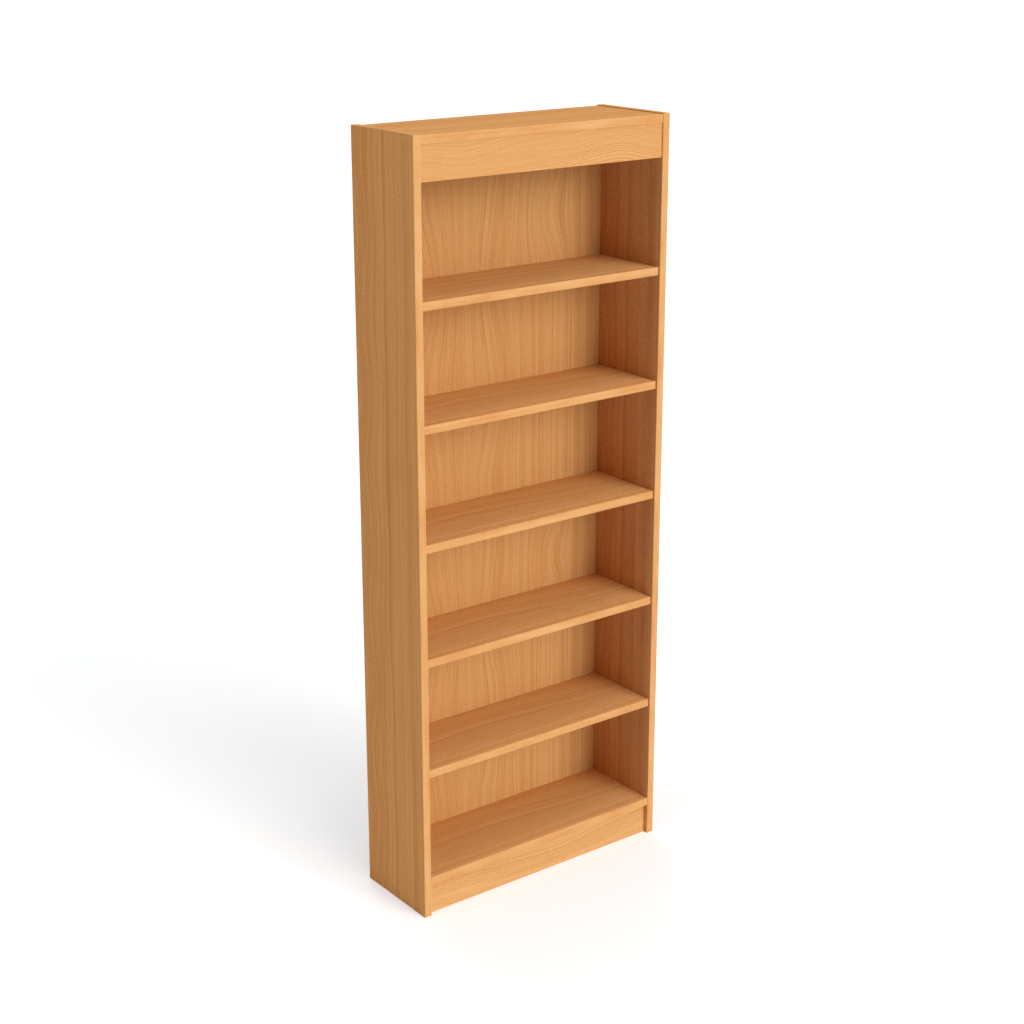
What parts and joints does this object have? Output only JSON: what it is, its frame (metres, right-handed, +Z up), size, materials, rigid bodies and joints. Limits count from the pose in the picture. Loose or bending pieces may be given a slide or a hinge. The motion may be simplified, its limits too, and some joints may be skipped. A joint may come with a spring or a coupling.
{
  "type": "single-sided library shelving",
  "caption": "Tall narrow single-sided library shelving in beech-faced board with a fascia, loose shelves on pins, a plinth and a back panel.",
  "frame": {"origin": "centre of the footprint on the floor", "axes": "+Z up, +Y towards the wall behind, front towards -Y, +X to the right seen from the front"},
  "size_m": [0.7, 0.235, 1.8],
  "materials": {
    "side_board": "satin beech-faced board, upright grain",
    "top_board": "satin beech-faced board, grain along the width",
    "shelf_board": "satin beech-faced board, grain along the width",
    "rail_board": "satin beech-faced board, grain along the width",
    "back_board": "satin beech-faced board, upright grain",
    "edging": "satin beech edging",
    "dowel_beech": "bare turned beech",
    "zinc_cam": "cast zinc, matt",
    "bolt_steel": "zinc-plated steel",
    "nickel_pin": "nickel-plated steel",
    "screw_steel": "zinc-plated steel"
  },
  "bodies": {
    "case": {"side_panel_left": "side_board", "side_panel_right": "side_board", "side_front_edging_left": "edging", "side_front_edging_right": "edging", "side_rear_edging_left": "edging", "side_rear_edging_right": "edging", "side_top_edging_left": "edging", "side_top_edging_right": "edging", "top_front_edging": "edging", "top_rear_edging": "edging", "fascia_edging": "edging", "base_front_edging": "edging", "top_panel": "top_board", "fascia_rail": "rail_board", "plinth_rail": "rail_board", "base_panel": "shelf_board", "back_panel": "back_board", "back_screws": "screw_steel", "shelf_pins_1": "nickel_pin", "shelf_pins_2": "nickel_pin", "shelf_pins_3": "nickel_pin", "shelf_pins_4": "nickel_pin", "shelf_pins_5": "nickel_pin", "cam_locks_top": "zinc_cam", "cam_bolts_top": "bolt_steel", "dowels_top": "dowel_beech", "cam_locks_base": "zinc_cam", "cam_bolts_base": "bolt_steel", "dowels_base": "dowel_beech", "cam_locks_fascia": "zinc_cam", "cam_bolts_fascia": "bolt_steel", "dowels_fascia": "dowel_beech", "cam_locks_plinth": "zinc_cam", "cam_bolts_plinth": "bolt_steel", "dowels_plinth": "dowel_beech"},
    "shelf_1_loose": {"shelf_1": "shelf_board", "shelf_edging_1": "edging"},
    "shelf_2_loose": {"shelf_2": "shelf_board", "shelf_edging_2": "edging"},
    "shelf_3_loose": {"shelf_3": "shelf_board", "shelf_edging_3": "edging"},
    "shelf_4_loose": {"shelf_4": "shelf_board", "shelf_edging_4": "edging"},
    "shelf_5_loose": {"shelf_5": "shelf_board", "shelf_edging_5": "edging"}
  },
  "joints": [
    {"name": "shelf_1_draw", "type": "slide", "parent": "case", "child": "shelf_1_loose", "axis": [0, -1, 0], "range_m": [0, 0.24]},
    {"name": "shelf_2_draw", "type": "slide", "parent": "case", "child": "shelf_2_loose", "axis": [0, -1, 0], "range_m": [0, 0.24]},
    {"name": "shelf_3_draw", "type": "slide", "parent": "case", "child": "shelf_3_loose", "axis": [0, -1, 0], "range_m": [0, 0.24]},
    {"name": "shelf_4_draw", "type": "slide", "parent": "case", "child": "shelf_4_loose", "axis": [0, -1, 0], "range_m": [0, 0.24]},
    {"name": "shelf_5_draw", "type": "slide", "parent": "case", "child": "shelf_5_loose", "axis": [0, -1, 0], "range_m": [0, 0.24]}
  ]
}
